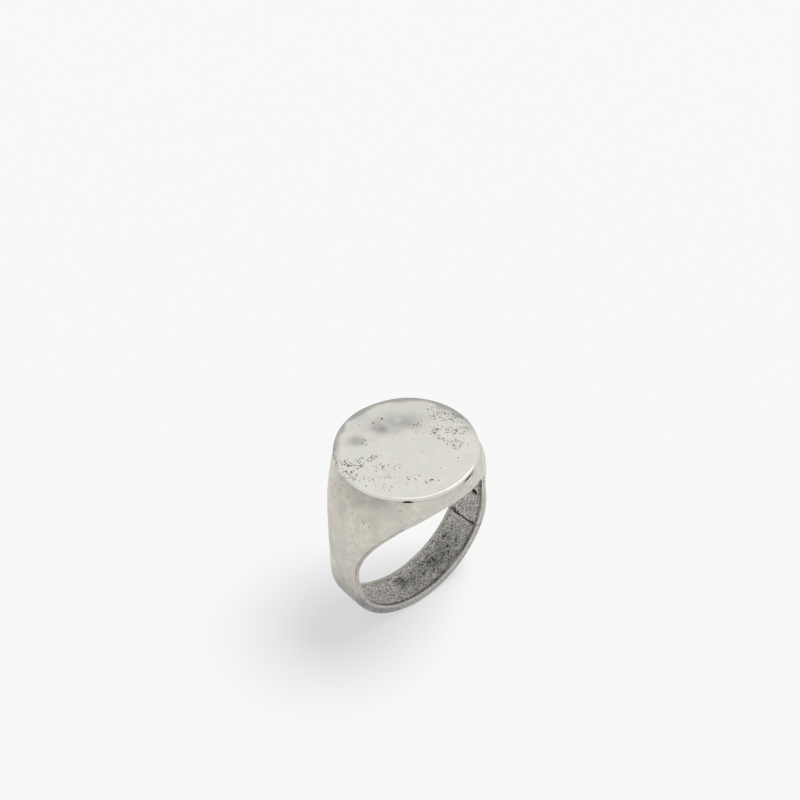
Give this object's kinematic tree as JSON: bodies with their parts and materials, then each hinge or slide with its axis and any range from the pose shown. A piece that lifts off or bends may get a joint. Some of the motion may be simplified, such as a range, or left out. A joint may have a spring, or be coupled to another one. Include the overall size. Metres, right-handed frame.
{
  "type": "signet ring",
  "caption": "Hollow-headed signet ring with a round flat overhanging table, flared shoulders, a narrow shank and a lined finger hole.",
  "frame": {"origin": "centre of the finger hole, half way through the ring's width", "axes": "+Y along the finger hole's axis, +Z from the hole's centre up through the middle of the round table, +X across the shoulders"},
  "size_m": [0.021, 0.0164, 0.0238],
  "materials": {
    "table_metal": "satin",
    "body_metal": "satin",
    "lining_metal": "matte",
    "solder": "matte"
  },
  "bodies": {
    "root": {"table_plate": "table_metal", "table_solder": "solder", "head_shell": "body_metal", "head_lining": "lining_metal", "head_lining_solder": "solder", "shank_band": "body_metal", "shank_lining": "lining_metal", "shank_lining_solder": "solder", "right_joint_solder": "solder", "left_joint_solder": "solder"}
  },
  "joints": []
}
